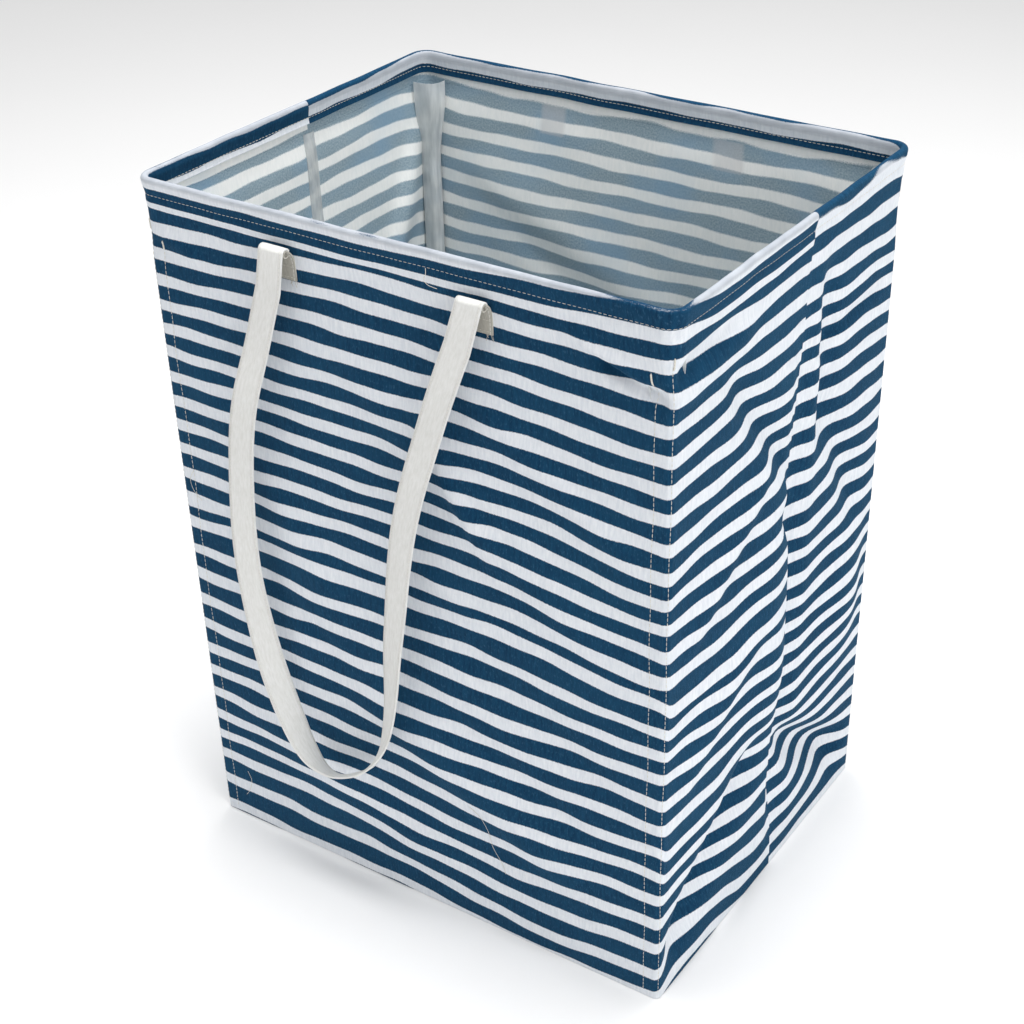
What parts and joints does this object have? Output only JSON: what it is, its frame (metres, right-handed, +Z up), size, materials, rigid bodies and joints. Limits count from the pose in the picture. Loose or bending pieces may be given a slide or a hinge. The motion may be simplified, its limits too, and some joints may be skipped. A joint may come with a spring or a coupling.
{
  "type": "laundry hamper",
  "caption": "Tall free-standing collapsible fabric hamper with a wire-stiffened rectangular mouth, corner support rods in sewn sleeves and long strap handles on the front and back.",
  "frame": {"origin": "on the floor, at the centre of the rim's plan", "axes": "+Z up, the front face and its strap handle towards -Y, +X to the right of the front face"},
  "size_m": [0.43, 0.388, 0.56],
  "materials": {
    "striped_cloth": "woven cotton and linen mix with printed navy stripes on white",
    "coated_lining": "waterproof-coated back of the printed cloth",
    "sleeve_tape": "thin translucent non-woven tape",
    "webbing": "off-white cotton canvas strap",
    "steel_wire": "drawn spring wire",
    "glass_fibre": "pultruded rod",
    "plastic_cap": "moulded"
  },
  "bodies": {
    "base": {"front_panel": "striped_cloth", "back_panel": "striped_cloth", "bottom_panel": "coated_lining", "base_seam_binding": "coated_lining", "side_seam_left": "coated_lining", "side_seam_right": "coated_lining", "corner_sleeve_front_left": "sleeve_tape", "corner_sleeve_front_right": "sleeve_tape", "corner_sleeve_back_left": "sleeve_tape", "corner_sleeve_back_right": "sleeve_tape"},
    "rim": {"rim_hoop": "steel_wire", "hoop_ferrule": "steel_wire", "rim_hem_front": "striped_cloth", "rim_hem_back": "striped_cloth", "front_handle_tab_left": "webbing", "front_handle_tab_right": "webbing", "back_handle_tab_left": "webbing", "back_handle_tab_right": "webbing"},
    "front_handle": {"front_handle": "webbing"},
    "back_handle": {"back_handle": "webbing"},
    "rod_front_left": {"corner_rod_front_left": "glass_fibre", "rod_foot_front_left": "plastic_cap", "rod_cap_front_left": "plastic_cap"},
    "rod_front_right": {"corner_rod_front_right": "glass_fibre", "rod_foot_front_right": "plastic_cap", "rod_cap_front_right": "plastic_cap"},
    "rod_back_left": {"corner_rod_back_left": "glass_fibre", "rod_foot_back_left": "plastic_cap", "rod_cap_back_left": "plastic_cap"},
    "rod_back_right": {"corner_rod_back_right": "glass_fibre", "rod_foot_back_right": "plastic_cap", "rod_cap_back_right": "plastic_cap"}
  },
  "joints": [
    {"name": "collapse", "type": "slide", "parent": "base", "child": "rim", "axis": [0, 0, -1], "range_m": [0, 0.48], "deforming": ["front_panel", "back_panel", "side_seam_left", "side_seam_right", "corner_sleeve_front_left", "corner_sleeve_front_right", "corner_sleeve_back_left", "corner_sleeve_back_right"]},
    {"name": "front_handle_swing", "type": "hinge", "parent": "rim", "child": "front_handle", "pos_m": [-0.008, -0.1725, 0.5335], "axis": [-1, 0, 0], "range_deg": [0, 180]},
    {"name": "back_handle_swing", "type": "hinge", "parent": "rim", "child": "back_handle", "pos_m": [-0.008, 0.1725, 0.5335], "axis": [1, 0, 0], "range_deg": [0, 180]},
    {"name": "rod_front_left_slide", "type": "slide", "parent": "base", "child": "rod_front_left", "axis": [0, 0, 1], "range_m": [0, 0.56]},
    {"name": "rod_front_right_slide", "type": "slide", "parent": "base", "child": "rod_front_right", "axis": [0, 0, 1], "range_m": [0, 0.56]},
    {"name": "rod_back_left_slide", "type": "slide", "parent": "base", "child": "rod_back_left", "axis": [0, 0, 1], "range_m": [0, 0.56]},
    {"name": "rod_back_right_slide", "type": "slide", "parent": "base", "child": "rod_back_right", "axis": [0, 0, 1], "range_m": [0, 0.56]}
  ]
}
